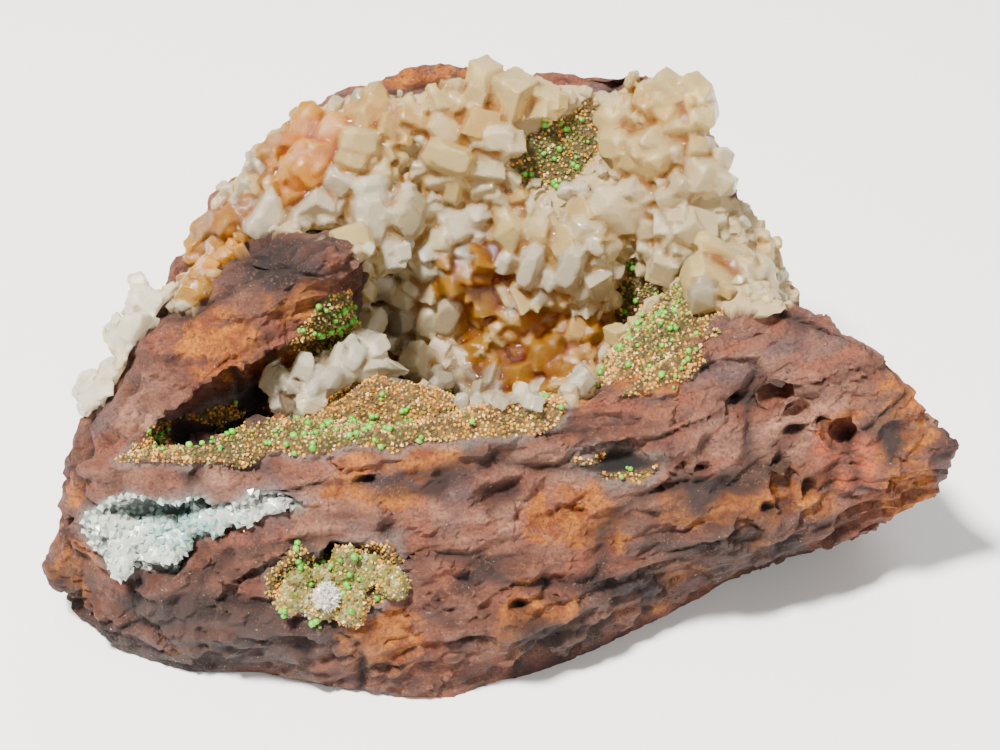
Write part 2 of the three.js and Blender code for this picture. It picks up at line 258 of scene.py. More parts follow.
# Where the limonite has turned to ochre, brick red or pale pink, and where it is painted black: partly
# black ore, partly painted shade in the openings, the caves and the cup on the arm's end
OCHRE_PLACES = [
    ((575, 520), (60, 40)), ((380, 640), (60, 45)), ((490, 75), (44, 26)), ((215, 340), (60, 45)),
    ((650, 385), (45, 22)), ((700, 505), (60, 30)), ((300, 300), (45, 30)), ((910, 500), (40, 60)),
    ((75, 580), (30, 50)), ((400, 75), (90, 20)), ((600, 540), (40, 20)),
]
# Painted black: dark ore, and painted shade over the openings, the caves and the cup
DARK_ORE_AND_SHADED_PLACES = [
    ((250, 250), (46, 26)), ((730, 575), (60, 24)), ((60, 600), (34, 40)), ((722, 150), (22, 90)),
    ((615, 466), (42, 16)), ((230, 405), (40, 30)), ((180, 432), (34, 16)), ((60, 430), (26, 40)),
    ((200, 640), (150, 34)), ((640, 590), (70, 26)), ((290, 266), (96, 56)),
    ((185, 640), (240, 92)), ((740, 545), (150, 50)), ((560, 640), (90, 34)),
]
RED_PLACES = [((846, 458), (40, 42))]
PINK_PLACES = [
    ((330, 480), (280, 40)), ((520, 500), (170, 70)), ((780, 360), (130, 76)),
    ((790, 430), (160, 70)), ((330, 530), (90, 20)), ((150, 420), (60, 60)),
]
NEVER_PINK = [((190, 650), (260, 110))]
# Where the calcite is stained orange and honey, and the rock under it too
STAINED_PLACES = [
    ((215, 245), (62, 66)), ((305, 155), (60, 56)), ((535, 330), (86, 74)), ((480, 290), (56, 56)),
]
CALCITE_PLACE = [
    (176, 300), (192, 252), (216, 208), (238, 172), (262, 140), (290, 116), (326, 99), (440, 96),
    (520, 82), (600, 95), (660, 80), (698, 82), (712, 110), (728, 200), (800, 240),
    (812, 296), (770, 312), (700, 318), (664, 288), (636, 268), (612, 322), (600, 372),
    (560, 408), (460, 412), (424, 378), (384, 345), (366, 262), (352, 232), (250, 232),
    (214, 270), (190, 312),
]
HEMIMORPHITE_PLACE = [
    (75, 530), (98, 508), (150, 500), (215, 500), (262, 494), (305, 502), (250, 514),
    (205, 530), (172, 545), (178, 560), (130, 572), (96, 560),
]

tree = BVHTree.FromPolygons(
    [Vector(place) for place in places],
    [polygon.vertices[:] for polygon in finer.polygons],
)
# Which corners the camera sees: those that face it, or nearly, with nothing much before them
EDGE_ON = -0.2
LET_THROUGH = 1.2
eye_mm = EYE / MM
seen = np.zeros(count, bool)
for i in np.nonzero(facing > EDGE_ON)[0]:
    goal = Vector(places[i])
    way = goal - eye_mm
    hit = tree.ray_cast(eye_mm, way.normalized())
    seen[i] = hit[0] is not None and hit[3] > way.length - LET_THROUGH


def covered(spots, ragged=True):
    """How far round places in the view cover each corner of the rock, from 0 to 1."""
    u, v = (across_ragged, down_ragged) if ragged else (across, down)
    return np.max([near(u, v, centre, radius) for centre, radius in spots], axis=0)


druse = np.zeros(count)
for outline in DRUSE_PLACES.values():
    druse = np.maximum(druse, inside(outline, across_ragged, down_ragged) * seen)
mouth_shade = covered(SHADED_MOUTHS) * seen
druse[mouth_shade > 0.35] = 0
greenest = covered(GREENEST) * seen
in_hollow = (places[:, 1] > 2) & (places[:, 2] > 20) & (np.abs(places[:, 0]) < 34)
to_middle = np.array([0, -4, 44]) - places
faces_in = np.einsum("ij,ij->i", normals, to_middle) > 0
hidden_walls = in_hollow & faces_in & ~seen & (places[:, 1] < 27)
calcite = (inside(CALCITE_PLACE, across_ragged, down_ragged) & seen).astype(float)
calcite = np.maximum(calcite, hidden_walls)
calcite *= 1 - druse
slit = (inside(HEMIMORPHITE_PLACE, across_ragged, down_ragged) & seen).astype(float)
holes = covered(HOLES, ragged=False) * seen
nodule = covered(NODULE) * seen
cup = covered(CUP) * seen

# The broken surface: rounded knobs parted by cracks and drawn out along the layers, ledges
# that run with them, pits and a fine tooth
bare = 1 - np.maximum(calcite, druse)
along = np.stack([
    0.72 * places[:, 0],
    0.9 * places[:, 1],
    1.15 * (places[:, 2] - 0.22 * places[:, 0] + 0.1 * places[:, 1]),
], axis=1)
lumps = lattice_noise(places, 9.0, 11)
knobs = np.abs(lattice_noise(along, 4.6, 12)) + 0.6 * np.abs(lattice_noise(along, 2.3, 19))
small = lattice_noise(places, 1.9, 13)
tooth = lattice_noise(places, 1.1, 14)
layer = places[:, 2] - 0.16 * places[:, 0] + 1.6 * lattice_noise(places, 16, 15)
LEDGE_HEIGHT = 2.6
LEDGE_DROP = 0.2  # the share of each ledge that drops back, after the rest has sloped out
ledges = (layer / LEDGE_HEIGHT) % 1.0
ledges = np.where(
    ledges < 1 - LEDGE_DROP, ledges / (1 - LEDGE_DROP), (1 - ledges) / LEDGE_DROP
)
ledge_share = np.clip(0.15 + 1.2 * lattice_noise(places, 14, 16), 0, 1)
ledge_share = ledge_share * (1 - np.abs(normals[:, 2]))
pits = np.clip(lattice_noise(places, 3.3, 17) - 0.42, 0, 1)
CRACK_WIDTH = 0.13
cracks = CRACK_WIDTH - np.abs(lattice_noise(along * np.array([0.6, 0.8, 1.0]), 7.0, 18))
cracks = np.clip(cracks, 0, CRACK_WIDTH) / CRACK_WIDTH
big_chips = chipped(along, 6.4, 51)
chips = chipped(along, 2.6, 61)
# The lower front is broken into ledges; the face above it is worn smoother
broken = np.clip(0.35 + 1.1 * lattice_noise(along, 13.0, 25) + covered(BROKEN_FRONT), 0.2, 1)
# How far each corner moves out, in millimetres
move = 0.5 * lumps - 0.3
move += bare * (
    0.9 * big_chips + (0.25 + 0.45 * broken) * chips + (0.3 + 0.5 * broken) * knobs - 0.4
)
move += bare * (
    1.7 * ledge_share * (ledges - 0.5) - 2.2 * pits - 0.7 * cracks * seen
    - 1.8 * holes + 1.3 * nodule - 1.4 * cup
)
move += calcite * (0.5 + 0.55 * chipped(places, 2.2, 71))
move += 0.14 * small + 0.14 * tooth
# The level underside stays level, and nothing sinks below it
FOOT_FADE = 1.5
LEVEL = 0.05
foot = np.clip(places[:, 2] / FOOT_FADE, 0, 1) * (normals[:, 2] > -0.9)
places_worn = places + normals * (move * foot)[:, None]
places_worn[:, 2] = np.where(places[:, 2] < LEVEL, 0, np.maximum(places_worn[:, 2], 0.0))
finer.vertices.foreach_set("co", (places_worn * MM).ravel())
finer.update()

# How far each corner has turned to ochre, brick red or pale pink, and how far it is painted black, as
# dark ore and as painted shade in the deep openings, the caves and the cup
streaks = lattice_noise(along * np.array([1, 1, 1.3]), 4.0, 21)
patches = lattice_noise(along, 11.0, 22)
ochre = np.clip(1.8 * (0.55 * streaks + 0.8 * patches - 0.10), 0, 1)
ochre = np.maximum(ochre, 1.2 * covered(OCHRE_PLACES))
dark_ore_and_shade = np.clip(2.0 * (lattice_noise(along, 9.0, 23) + 0.4 * small - 0.3), 0, 1)
dark_ore_and_shade = np.maximum(np.maximum(dark_ore_and_shade, mouth_shade), cup)
blotched = np.clip(0.95 + 0.9 * streaks, 0, 1)
dark_ore_and_shade = np.maximum(dark_ore_and_shade, covered(DARK_ORE_AND_SHADED_PLACES) * blotched)
red = np.clip(1.5 * covered(RED_PLACES), 0, 1) * seen
pale = np.clip(1.6 * lattice_noise(along, 7.0, 24) + 0.5 * small - 0.2, 0, 1)
pale = np.maximum(pale, covered(PINK_PLACES))
pale *= np.clip(0.75 + 0.9 * streaks, 0, 1) * (1 - covered(NEVER_PINK))


def away(outline, across, down):
    """How far places in the view lie from an outline."""
    least = np.full(np.shape(across), 1e9)
    previous = outline[-1]
    for corner in outline:
        start = np.array(previous, float)
        run = np.array(corner, float) - start
        share = ((across - start[0]) * run[0] + (down - start[1]) * run[1]) / (run @ run)
        share = np.clip(share, 0, 1)
        off = np.hypot(across - start[0] - share * run[0], down - start[1] - share * run[1])
        least = np.minimum(least, off)
        previous = corner
    return least


# The thin grey-pink rim of denser ore round each opening that the druse lines
RIM_WIDTH = 9
grey = np.zeros(count)
for outline in (
    DRUSE_PLACES["floor"], DRUSE_PLACES["pocket"], DRUSE_PLACES["dark_hollow"], HEMIMORPHITE_PLACE,
):
    outside = ~inside(outline, across_ragged, down_ragged)
    band = np.clip(1.3 - away(outline, across_ragged, down_ragged) / RIM_WIDTH, 0, 1)
    grey = np.maximum(grey, band * outside * seen)

for name, values in {
    "ochre": ochre,
    "dark_ore_and_shade": dark_ore_and_shade,
    "red": red,
    "grey": grey,
    "pale": pale,
    "druse": druse,
    "calcite": calcite,
    "honey": covered(STAINED_PLACES, ragged=False),
    # Painted shade: cracks, pits and holes are darkened as well as sunk
    "cracks": np.clip(cracks * bare + 2 * pits + 1.2 * holes, 0, 1),
    "high": np.clip(0.7 * big_chips + 0.5 * chips, 0, 1),
    "mouth_shade": mouth_shade,
    "slit": slit,
    "greenest": greenest,
}.items():
    store(finer, name, values)


def node(tree, kind, **values):
    """A new node in a tree, with some of its settings."""
    made = tree.nodes.new(kind)
    for key, value in values.items():
        setattr(made, key, value)
    return made


def feed(tree, socket, value):
    """Give a socket a plain value, or link it to another socket."""
    if hasattr(value, "links"):
        tree.links.new(value, socket)
    else:
        socket.default_value = value


def attribute(tree, name, output="Fac"):
    return node(tree, "ShaderNodeAttribute", attribute_name=name).outputs[output]


def mixed(tree, share, first, second):
    """A colour between two colours, by a share."""
    blend = node(tree, "ShaderNodeMix", data_type="RGBA")
    for i, value in ((0, share), (6, first), (7, second)):
        feed(tree, blend.inputs[i], value)
    return blend.outputs[2]


def times(tree, a, b):
    made = node(tree, "ShaderNodeMath", operation="MULTIPLY")
    feed(tree, made.inputs[0], a)
    feed(tree, made.inputs[1], b)
    return made.outputs[0]


def noise(tree, scale, detail=4.0, rough=0.55, warp=0.0, stretch=None):
    """Shader noise at so many waves to the metre, in the object's own space."""
    place = node(tree, "ShaderNodeTexCoord").outputs["Object"]
    if stretch:
        turned = node(tree, "ShaderNodeMapping")
        turned.inputs["Rotation"].default_value = (0, math.radians(-11), 0)
        turned.inputs["Scale"].default_value = stretch
        feed(tree, turned.inputs["Vector"], place)
        place = turned.outputs["Vector"]
    made = node(tree, "ShaderNodeTexNoise")
    for name, value in {
        "Vector": place, "Scale": scale, "Detail": detail, "Roughness": rough, "Distortion": warp,
    }.items():
        feed(tree, made.inputs[name], value)
    return made.outputs["Fac"]


def ramp(tree, fac, low, high):
    """fac spread so that low gives 0 and high gives 1."""
    made = node(tree, "ShaderNodeMapRange")
    for name, value in {"Value": fac, "From Min": low, "From Max": high}.items():
        feed(tree, made.inputs[name], value)
    return made.outputs["Result"]


def new_group(name, inputs, output):
    """An empty node group with named sockets: the group, its inputs and its one output."""
    kinds = {"number": "NodeSocketFloat", "colour": "NodeSocketColor"}
    group = bpy.data.node_groups.new(name, "ShaderNodeTree")
    for label, kind in inputs.items():
        group.interface.new_socket(label, in_out="INPUT", socket_type=kinds[kind])
    group.interface.new_socket(output[0], in_out="OUTPUT", socket_type=kinds[output[1]])
    return group, node(group, "NodeGroupInput").outputs, node(group, "NodeGroupOutput").inputs[0]


def placed(tree, group, **values):
    """What a group puts out when it is placed in a material with these values."""
    made = node(tree, "ShaderNodeGroup", node_tree=group)
    for name, value in values.items():
        feed(tree, made.inputs[name.capitalize()], value)
    return made.outputs[0]


# Uneven polish: patches of the surface are smoother or rougher than the rest
polish, given, put_out = new_group(
    "uneven_polish",
    {"Waves": "number", "Detail": "number", "Smooth": "number", "Rough": "number"},
    ("Roughness", "number"),
)
patchy = noise(polish, given["Waves"], given["Detail"])
feed(polish, put_out, ramp(polish, patchy, given["Smooth"], given["Rough"]))

earth = bpy.data.materials.new("limonite")
earth.use_nodes = True
ore = earth.node_tree
LAYERED = (0.7, 0.9, 1.5)
BARE_TONES = {
    "maroon": ((0.050, 0.013, 0.009, 1), (0.27, 0.085, 0.042, 1)),
    "rust": ((0.30, 0.062, 0.006, 1), (0.70, 0.225, 0.012, 1)),
    "pink": ((0.27, 0.098, 0.062, 1), (0.64, 0.31, 0.20, 1)),
    "druse": ((0.10, 0.055, 0.014, 1), (0.30, 0.17, 0.04, 1)),
    "crust": ((0.72, 0.54, 0.28, 1), (0.62, 0.26, 0.012, 1)),
}
SALMON = (0.44, 0.165, 0.075, 1)
BRICK = (0.33, 0.085, 0.038, 1)
PLUM = (0.115, 0.072, 0.080, 1)
POCK = (0.030, 0.013, 0.010, 1)
BLACK_ORE_AND_SHADE = (0.012, 0.008, 0.010, 1)
BRIGHT_RED = (0.66, 0.13, 0.04, 1)
DENSE_GREY = (0.27, 0.215, 0.19, 1)
CRACK_AND_PIT_SHADE = (0.016, 0.009, 0.008, 1)
RUBBED = (0.36, 0.16, 0.10, 1)
SPECK = (0.075, 0.024, 0.014, 1)
FLECK = (0.56, 0.27, 0.14, 1)
PAINTED_GLINT = (0.75, 0.68, 0.58, 1)
MOSS_GREEN = (0.035, 0.060, 0.010, 1)
PAINTED_DEEP_SHADE = (0.008, 0.006, 0.005, 1)
SLIT_FROST = (0.42, 0.50, 0.47, 1)


def patch(waves, detail, rough, warp, low, high, stretch=LAYERED):
    """Patches of noise in the rock, drawn out along its layers unless told."""
    return ramp(ore, noise(ore, waves, detail, rough, warp, stretch), low, high)


maroon = mixed(ore, patch(240, 8, 0.65, 0.4, 0.38, 0.64), *BARE_TONES["maroon"])
salmon = mixed(ore, patch(620, 8, 0.7, 0.0, 0.55, 0.68), maroon, SALMON)
rust = mixed(ore, patch(420, 8, 0.65, 0.5, 0.4, 0.62, None), *BARE_TONES["rust"])
pink = mixed(ore, patch(520, 8, 0.7, 0.2, 0.36, 0.6), *BARE_TONES["pink"])
speckled = patch(480, 6, 0.65, 0.3, 0.34, 0.52)
ochre_share = ramp(ore, times(ore, attribute(ore, "ochre"), speckled), 0.25, 0.6)
fleck = times(
    ore, patch(2900, 3, 0.6, 0.3, 0.56, 0.70, None), patch(210, 4, 0.55, 0.0, 0.44, 0.6, None)
)
druse_colour = mixed(ore, patch(900, 4, 0.55, 0.0, 0.4, 0.6, None), *BARE_TONES["druse"])
druse_colour = mixed(ore, times(ore, attribute(ore, "greenest"), 0.6), druse_colour, MOSS_GREEN)
crust_colour = mixed(ore, attribute(ore, "honey"), *BARE_TONES["crust"])

# One tone over another: where it lies, how much of it shows there, and the tone
colour = salmon
for where, share, tone in (
    (attribute(ore, "pale"), 0.9, pink),
    (patch(130, 7, 0.65, 0.8, 0.50, 0.60), 0.75, BRICK),
    (patch(97, 7, 0.65, 0.5, 0.53, 0.62), 0.75, PLUM),
    (ochre_share, 1.0, rust),
    (patch(1250, 6, 0.7, 0.0, 0.565, 0.65, None), 0.8, POCK),
    # Painted black: dark ore, and painted shade in the openings, the caves and the cup
    (attribute(ore, "dark_ore_and_shade"), 0.96, BLACK_ORE_AND_SHADE),
    (attribute(ore, "red"), speckled, BRIGHT_RED),
    (attribute(ore, "grey"), 0.8, DENSE_GREY),
    # Painted shade in the cracks, pits and holes
    (attribute(ore, "cracks"), 0.9, CRACK_AND_PIT_SHADE),
    (attribute(ore, "high"), 0.22, RUBBED),
    (patch(2400, 3, 0.6, 0.0, 0.46, 0.62, None), 0.5, SPECK),
    (fleck, 0.4, FLECK),
    # Painted glints: small pale spots in the colour stand for sparkles of light
    (patch(1900, 2, 0.5, 0.0, 0.735, 0.76, None), 0.4, PAINTED_GLINT),
    (attribute(ore, "druse"), 1.0, druse_colour),
    # Painted shade: the deep openings are painted near black
    (attribute(ore, "mouth_shade"), 1.0, PAINTED_DEEP_SHADE),
    (attribute(ore, "slit"), 0.85, SLIT_FROST),
    (attribute(ore, "calcite"), 1.0, crust_colour),
):
    colour = mixed(ore, times(ore, where, share), colour, tone)
feed(ore, principled(earth).inputs["Base Color"], colour)
rock_polish = placed(ore, polish, waves=380, detail=3, smooth=-1.2, rough=1.2)
feed(ore, principled(earth).inputs["Roughness"], rock_polish)


def bumped(material, strength, distance, *grain_noise):
    """Raise the surface of a material a little, by noise, over so many millimetres."""
    tree = material.node_tree
    bump = node(tree, "ShaderNodeBump")
    bump.inputs["Strength"].default_value = strength
    bump.inputs["Distance"].default_value = distance * MM
    feed(tree, bump.inputs["Height"], noise(tree, *grain_noise))
    feed(tree, principled(material).inputs["Normal"], bump.outputs["Normal"])


bumped(earth, 1.0, 1.2, 1100, 14, 0.85)
finer.materials.append(earth)
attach(rock, "root")
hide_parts("limonite")


# Calcite in the main hollow
# One crust of calcite, grown in place on the walls of the hollow: blunt rhombs and
# dog-tooth points, stained orange on the left, honey deep down, white and cream elsewhere.
WHITE = np.array([0.91, 0.75, 0.45])
CREAM = np.array([0.86, 0.63, 0.25])
PEACH = np.array([0.83, 0.49, 0.13])
HONEY = np.array([0.50, 0.21, 0.006])
ORANGE = np.array([0.84, 0.31, 0.0])
GLASSY = np.array([0.97, 0.87, 0.64])
GREY = np.array([0.52, 0.46, 0.33])
PALE_GREEN_CRUST = np.array([0.62, 0.72, 0.42])

worn_tree = BVHTree.FromPolygons(
    [Vector(place) for place in places_worn],
    [polygon.vertices[:] for polygon in finer.polygons],
)


def look_at(across, down, tree=worn_tree):
    """The place and normal met along a line of sight, on the rock unless told."""
    goal = AIM / MM + Vector(((across - VIEW_MIDDLE[0]) / VIEW_SCALE, 0, 0))
    goal = goal + UP_IN_VIEW * ((VIEW_MIDDLE[1] - down) / VIEW_SCALE)
    hit = tree.ray_cast(eye_mm, (goal - eye_mm).normalized())
    return None if hit[0] is None else (hit[0], hit[1])


def seats(outline, apart, chance, bare_spots=()):
    """Places on the rock inside an outline, in uneven staggered rows."""
    step = apart * VIEW_SCALE
    xs = [corner[0] for corner in outline]
    ys = [corner[1] for corner in outline]
    found = []
    row = 0
    y = min(ys)
    while y < max(ys):
        row += 1
        x = min(xs) + (row % 2) * step / 2
        while x < max(xs):
            u = x + chance.uniform(-0.35, 0.35) * step
            v = y + chance.uniform(-0.35, 0.35) * step
            x += step
            left_bare = any(
                math.hypot(u - spot[0], v - spot[1]) < spot[2] for spot in bare_spots
            )
            if left_bare or not inside(outline, u, v):
                continue
            met = look_at(u, v)
            if met:
                found.append(met)
        y += step * 0.8
    return found


def all_over(mesh):
    return np.ones(len(mesh.vertices))


def scattered(mesh, share, apart, chance):
    """Places and normals spread over a mesh where share is over a half, kept apart."""
    mesh.calc_loop_triangles()
    corners = np.empty(len(mesh.loop_triangles) * 3, int)
    mesh.loop_triangles.foreach_get("vertices", corners)
    corners = corners.reshape(-1, 3)
    corners = corners[share[corners].mean(axis=1) > 0.5]
    spots = read(mesh, "co")[corners]
    cross = np.cross(spots[:, 1] - spots[:, 0], spots[:, 2] - spots[:, 0])
    areas = np.linalg.norm(cross, axis=1) / 2
    tries = int(areas.sum() / apart ** 2 * 2.2)
    picks = chance.choice(len(corners), tries, p=areas / areas.sum())
    a, b = chance.random((2, tries))
    a, b = np.where(a + b > 1, 1 - a, a), np.where(a + b > 1, 1 - b, b)
    tri = spots[picks]
    drawn = tri[:, 0] + a[:, None] * (tri[:, 1] - tri[:, 0]) + b[:, None] * (tri[:, 2] - tri[:, 0])
    taken = {}
    kept = []
    for i, place in enumerate(drawn):
        cell = tuple(np.floor(place / apart).astype(int))
        close = False
        for step in range(27):
            other = taken.get((
                cell[0] + step % 3 - 1, cell[1] + step // 3 % 3 - 1, cell[2] + step // 9 - 1
            ))
            if other is not None and ((drawn[other] - place) ** 2).sum() < apart ** 2:
                close = True
                break
        if not close:
            taken[cell] = i
            kept.append(i)
    faced = cross[picks[kept]]
    faced /= np.linalg.norm(faced, axis=1)[:, None]
    return [(Vector(place), Vector(normal)) for place, normal in zip(drawn[kept], faced)]


def dogtooth(width, length, chance):
    """Corners of a blunt six-sided point with a zigzag girdle."""
    corners = []
    for i in range(6):
        angle = i * math.pi / 3 + chance.uniform(-0.12, 0.12)
        girdle = length * (0.36 if i % 2 else 0.58) + chance.uniform(-0.05, 0.05) * length
        corners.append((math.cos(angle) * width * 0.7, math.sin(angle) * width * 0.7, -width))
        corners.append((math.cos(angle) * width, math.sin(angle) * width, girdle))
    lean = chance.uniform(-0.3, 0.3, 2) * width
    for i in range(3):
        angle = i * 2.1 + 0.5
        corners.append((
            lean[0] + math.cos(angle) * width * 0.22, lean[1] + math.sin(angle) * width * 0.22,
            length * chance.uniform(0.92, 1.0),
        ))
    return corners


def rhomb(width, length, chance):
    """Corners of a steep rhomb with three faces at its tip, its foot sunk in the crust."""
    rise = length * 1.35 / 3
    reach = width * chance.uniform(0.85, 1.1, 3)
    corners = []
    for i in range(8):
        corner = [0.0, 0.0, -0.35 * length]
        for k in range(3):
            if i >> k & 1:
                angle = k * 2 * math.pi / 3
                corner[0] += math.cos(angle) * reach[k]
                corner[1] += math.sin(angle) * reach[k]
                corner[2] += rise
        corners.append(tuple(corner))
    return corners


def block(width, length, chance):
    """Corners of a squat slab with cut corners."""
    corners = []
    long_side = width * chance.uniform(1.0, 1.4)
    short_side = width * chance.uniform(0.6, 0.9)
    for z, share in ((-width, 0.8), (length * 0.7, 1.0), (length, 0.66)):
        shift = chance.uniform(-0.15, 0.15, 2) * width
        for sx, sy in (
            (1, 0.6), (0.6, 1), (-0.6, 1), (-1, 0.6), (-1, -0.6), (-0.6, -1), (0.6, -1), (1, -0.6),
        ):
            corners.append((shift[0] + sx * long_side * share, shift[1] + sy * short_side * share, z))
    return corners


def hull(corners):
    """Corner places and faces of the tightest closed body round some corners."""
    made = bmesh.new()
    for corner in corners:
        made.verts.new(corner)
    bmesh.ops.convex_hull(made, input=made.verts[:])
    loose = [v for v in made.verts if not v.link_faces]
    bmesh.ops.delete(made, geom=loose, context="VERTS")
    bmesh.ops.triangulate(made, faces=made.faces[:])
    made.verts.index_update()
    verts = np.array([v.co[:] for v in made.verts])
    faces = [[v.index for v in face.verts] for face in made.faces]
    made.free()
    return verts, faces


def tint_corners(mesh, tints):
    """Write the tint of each corner of a mesh, for its material to read."""
    held = mesh.attributes.get("tint") or mesh.attributes.new("tint", "FLOAT_COLOR", "POINT")
    held.data.foreach_set("color", np.c_[tints, np.ones(len(tints))].astype(np.float32).ravel())


def joined(name, pieces, smooth):
    """One mesh object from pieces of (corner places in millimetres, faces, tint of each corner)."""
    verts = np.concatenate([piece[0] for piece in pieces]) * MM
    tints = np.concatenate([piece[2] for piece in pieces])
    faces = []
    start = 0
    for piece in pieces:
        faces += [[start + i for i in face] for face in piece[1]]
        start += len(piece[0])
    mesh = bpy.data.meshes.new(name)
    mesh.from_pydata(verts.tolist(), [], faces)
    mesh.update()
    tint_corners(mesh, tints)
    mesh.polygons.foreach_set("use_smooth", [smooth] * len(mesh.polygons))
    made = bpy.data.objects.new(name, mesh)
    bpy.context.collection.objects.link(made)
    return made


FORMS = {"dogtooth": dogtooth, "rhomb": rhomb, "block": block}


def crystal(seat, form, width, length, tint, way, spin, chance):
    """One crystal on its seat, growing along a way and turned about it."""
    verts, faces = hull(FORMS[form](width, length, chance))
    turn = Vector((0, 0, 1)).rotation_difference(way) @ Quaternion((0, 0, 1), spin)
    spun = verts @ np.array(turn.to_matrix()).T
    return spun + np.array(seat[0]), faces, np.tile(tint, (len(verts), 1))


def grown(seat, form, width, length, tint, towards, chance, lean, members):
    """Crystals side by side on one seat, nearly parallel, out of the rock and towards a place."""
    place, normal = seat
    way = normal * 0.7 + (towards - place).normalized() * 0.45
    way = (way + Vector(chance.uniform(-lean, lean, 3))).normalized()
    spin = chance.uniform(0, math.pi)
    made = [crystal(seat, form, width, length, tint, way, spin, chance)]
    for _ in range(members):
        beside = Vector(chance.uniform(-1, 1, 3)) * width * 1.15
        beside = place + beside - way * (beside @ way)
        near_way = (way + Vector(chance.uniform(-0.22, 0.22, 3))).normalized()
        share = chance.uniform(0.45, 0.9)
        made.append(crystal(
            (beside, normal), form, width * share, length * chance.uniform(0.55, 0.95), tint,
            near_way, spin + chance.uniform(-0.2, 0.2), chance,
        ))
    return made


LEVELLING_ROUNDS = 26
# Painted shade in the valleys between crystals and painted light on their tips
VALLEY_DEPTH = 0.5
VALLEY_SHADE_POWER = np.array([1.6, 2.1, 2.6])
VALLEY_SHADE_SHARE = np.array([0.52, 0.38, 0.26])
TIP_LIGHT_POWER = np.array([0.7, 0.75, 0.85])


def fused(name, pieces, voxel, share):
    """The pieces grown into one crust, cut finer as one body, with the pieces' tints, painted shade in
    the valleys and painted light on the tips.
    """
    rough = joined(name, pieces, False)
    tree = BVHTree.FromPolygons(
        [v.co for v in rough.data.vertices], [polygon.vertices[:] for polygon in rough.data.polygons]
    )
    first = [polygon.vertices[0] for polygon in rough.data.polygons]
    tint_of = np.concatenate([piece[2] for piece in pieces])[first]
    remesh = rough.modifiers.new("one", "REMESH")
    remesh.mode = "VOXEL"
    remesh.voxel_size = voxel * MM
    fewer = rough.modifiers.new("fewer", "DECIMATE")
    fewer.ratio = share
    bpy.context.view_layer.update()
    settled = bpy.context.evaluated_depsgraph_get()
    mesh = bpy.data.meshes.new_from_object(rough.evaluated_get(settled))
    bpy.data.objects.remove(rough)
    spots = read(mesh, "co")
    tints = np.array([tint_of[tree.find_nearest(Vector(spot * MM))[2]] for spot in spots])

    # Painted shade and light: valleys between crystals are painted darker and deeper in tint, tips are
    # painted paler
    edges = np.empty(len(mesh.edges) * 2, int)
    mesh.edges.foreach_get("vertices", edges)
    a, b = edges.reshape(-1, 2).T
    near_count = np.maximum(np.bincount(np.r_[a, b], minlength=len(spots)), 1)[:, None]
    level = spots.copy()
    for _ in range(LEVELLING_ROUNDS):
        level = np.stack([
            np.bincount(a, level[b, k], len(spots)) + np.bincount(b, level[a, k], len(spots))
            for k in range(3)
        ], axis=1) / near_count
    depth = np.einsum("ij,ij->i", level - spots, read(mesh, "normal"))
    valley = np.clip(depth / VALLEY_DEPTH, -1, 1)[:, None]
    valley_shaded = tints ** VALLEY_SHADE_POWER * VALLEY_SHADE_SHARE
    paler = tints ** TIP_LIGHT_POWER
    tints = np.where(
        valley > 0, tints + (valley_shaded - tints) * valley, tints - (paler - tints) * valley
    )
    tint_corners(mesh, tints)
    mesh.polygons.foreach_set("use_smooth", [False] * len(mesh.polygons))
    made = bpy.data.objects.new(name, mesh)
    bpy.context.collection.objects.link(made)
    return made


